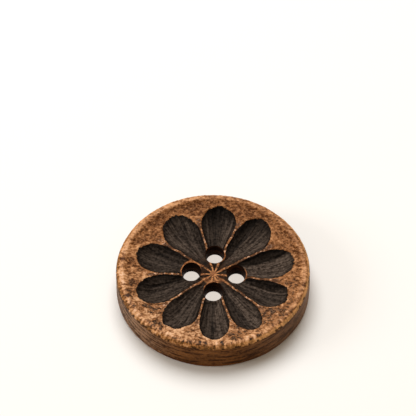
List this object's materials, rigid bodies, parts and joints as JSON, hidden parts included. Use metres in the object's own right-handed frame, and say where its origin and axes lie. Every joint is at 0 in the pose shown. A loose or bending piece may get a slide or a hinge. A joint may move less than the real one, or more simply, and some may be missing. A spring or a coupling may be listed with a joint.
{
  "type": "sewing button",
  "caption": "Round wooden sewing button: a rosette of petals carved into its sunk face, a rounded rim, sewing holes through the middle and a hollowed back.",
  "frame": {"origin": "middle of the circle that the button rests on", "axes": "+Z out of the carved face; the sewing holes lie on +X, +Y, -X and -Y"},
  "size_m": [0.025, 0.025, 0.0042],
  "materials": {
    "stained_wood": "waxed wood, singed dark in the carving"
  },
  "bodies": {
    "root": {"button": "stained_wood"}
  },
  "joints": []
}
